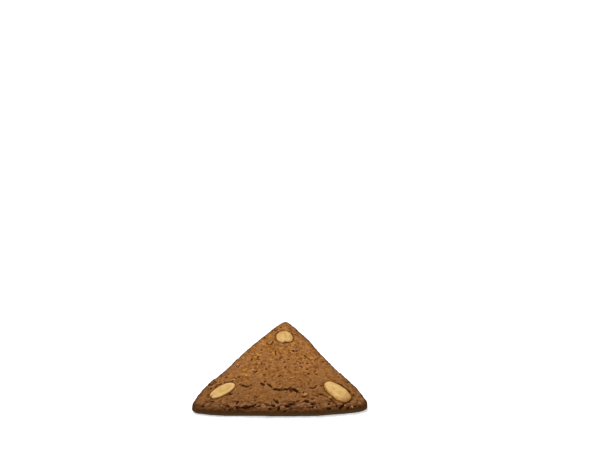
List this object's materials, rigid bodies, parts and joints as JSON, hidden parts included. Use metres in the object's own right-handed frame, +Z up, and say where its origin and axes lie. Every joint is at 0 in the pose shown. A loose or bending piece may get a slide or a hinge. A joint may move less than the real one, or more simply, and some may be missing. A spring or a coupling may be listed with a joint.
{
  "type": "speculoos biscuit",
  "caption": "Flat triangular spiced biscuit with half almonds baked into the corners of its cracked top; it lies on its flat underside.",
  "frame": {"origin": "middle of the bounding box's bottom face, on the flat underside", "axes": "+X along the front edge, towards the corner with the large domed almond; +Y from the front edge towards the apex; +Z up out of the top crust"},
  "size_m": [0.1156, 0.105, 0.0092],
  "materials": {
    "baked_dough": "matt brown baked crust",
    "toasted_almond": "satin pale blanched nut"
  },
  "bodies": {
    "root": {"biscuit": "baked_dough", "almond_left": "toasted_almond", "almond_right": "toasted_almond", "almond_top": "toasted_almond"}
  },
  "joints": []
}
